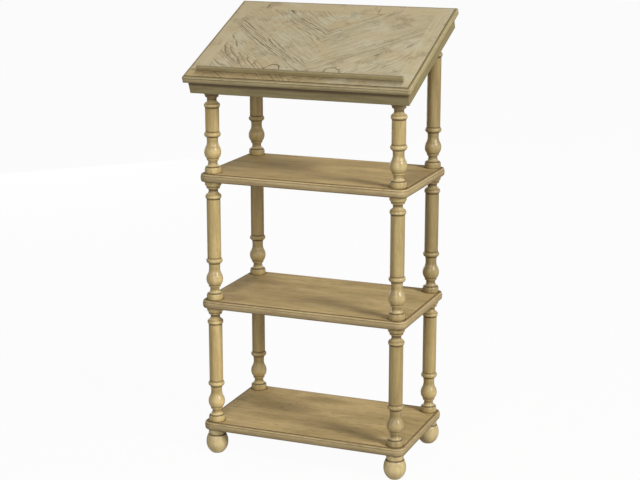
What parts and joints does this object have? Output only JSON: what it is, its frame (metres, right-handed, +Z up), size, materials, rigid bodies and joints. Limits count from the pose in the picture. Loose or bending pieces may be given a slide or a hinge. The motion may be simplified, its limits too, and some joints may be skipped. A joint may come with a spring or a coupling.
{
  "type": "atlas stand",
  "caption": "Free-standing wooden atlas stand with a slanted ledged reading top over open shelves carried on turned spindles and bun feet.",
  "frame": {"origin": "on the floor under the middle of the stand's bounding box", "axes": "+X to the reader's right, +Y away from the reader, +Z up"},
  "size_m": [0.602, 0.389, 1.1683],
  "materials": {
    "turned_wood": "satin, tan stain with dark glaze in the turned grooves",
    "shelf_wood": "satin, tan stain with long soft streaks",
    "moulding_wood": "satin, tan stain with dark glaze in the quirk",
    "rail_wood": "satin, tan stain",
    "top_veneer": "satin, pale tan figured veneer laid in mirrored halves",
    "hidden_wood": "bare",
    "screw_steel": "zinc plated",
    "glide_plastic": "matte"
  },
  "bodies": {
    "root": {"apron_front": "rail_wood", "apron_left": "rail_wood", "apron_rear": "rail_wood", "apron_right": "rail_wood", "bearer_left": "hidden_wood", "bearer_right": "hidden_wood", "board_moulding_front": "moulding_wood", "board_moulding_left": "moulding_wood", "board_moulding_rear": "moulding_wood", "board_moulding_right": "moulding_wood", "board_screws": "screw_steel", "book_ledge": "moulding_wood", "bottom_shelf": "shelf_wood", "bottom_shelf_studs": "hidden_wood", "foot_front_left": "turned_wood", "foot_front_right": "turned_wood", "foot_glides": "glide_plastic", "foot_rear_left": "turned_wood", "foot_rear_right": "turned_wood", "ledge_dowels": "hidden_wood", "lower_spindle_front_left": "turned_wood", "lower_spindle_front_right": "turned_wood", "lower_spindle_rear_left": "turned_wood", "lower_spindle_rear_right": "turned_wood", "middle_shelf": "shelf_wood", "middle_shelf_studs": "hidden_wood", "middle_spindle_front_left": "turned_wood", "middle_spindle_front_right": "turned_wood", "middle_spindle_rear_left": "turned_wood", "middle_spindle_rear_right": "turned_wood", "reading_board": "top_veneer", "top_shelf": "shelf_wood", "top_shelf_studs": "hidden_wood", "top_studs": "hidden_wood", "upper_spindle_front_left": "turned_wood", "upper_spindle_front_right": "turned_wood", "upper_spindle_rear_left": "turned_wood", "upper_spindle_rear_right": "turned_wood"}
  },
  "joints": []
}
